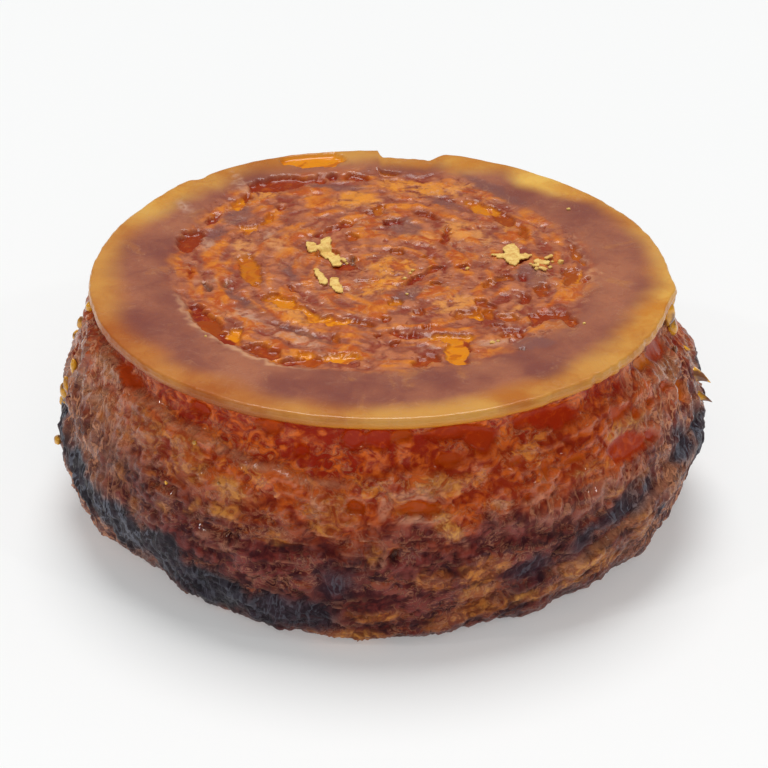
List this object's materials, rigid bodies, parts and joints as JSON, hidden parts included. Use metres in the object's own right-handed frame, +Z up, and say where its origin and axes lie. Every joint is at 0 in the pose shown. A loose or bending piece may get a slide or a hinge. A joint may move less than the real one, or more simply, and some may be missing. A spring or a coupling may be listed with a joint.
{
  "type": "kouign amann",
  "caption": "Round, squat caramelised pastry of rolled butter dough, with a flat glazed caramel disc on top of a craggy, bulging wall.",
  "frame": {"origin": "on the surface it rests on, at the middle of the whole object's box seen from above", "axes": "+Z up through the caramel disc, -Y towards the front, +X to the right seen from the front"},
  "size_m": [0.0926, 0.0916, 0.035],
  "materials": {
    "pastry": "stands in for baked dough under a wet-looking coat of dark caramel",
    "caramel_disc": "stands in for a thin sheet of clear, hard caramel, smooth and glossy"
  },
  "bodies": {
    "root": {"pastry": "pastry", "caramel_disc": "caramel_disc"}
  },
  "joints": []
}
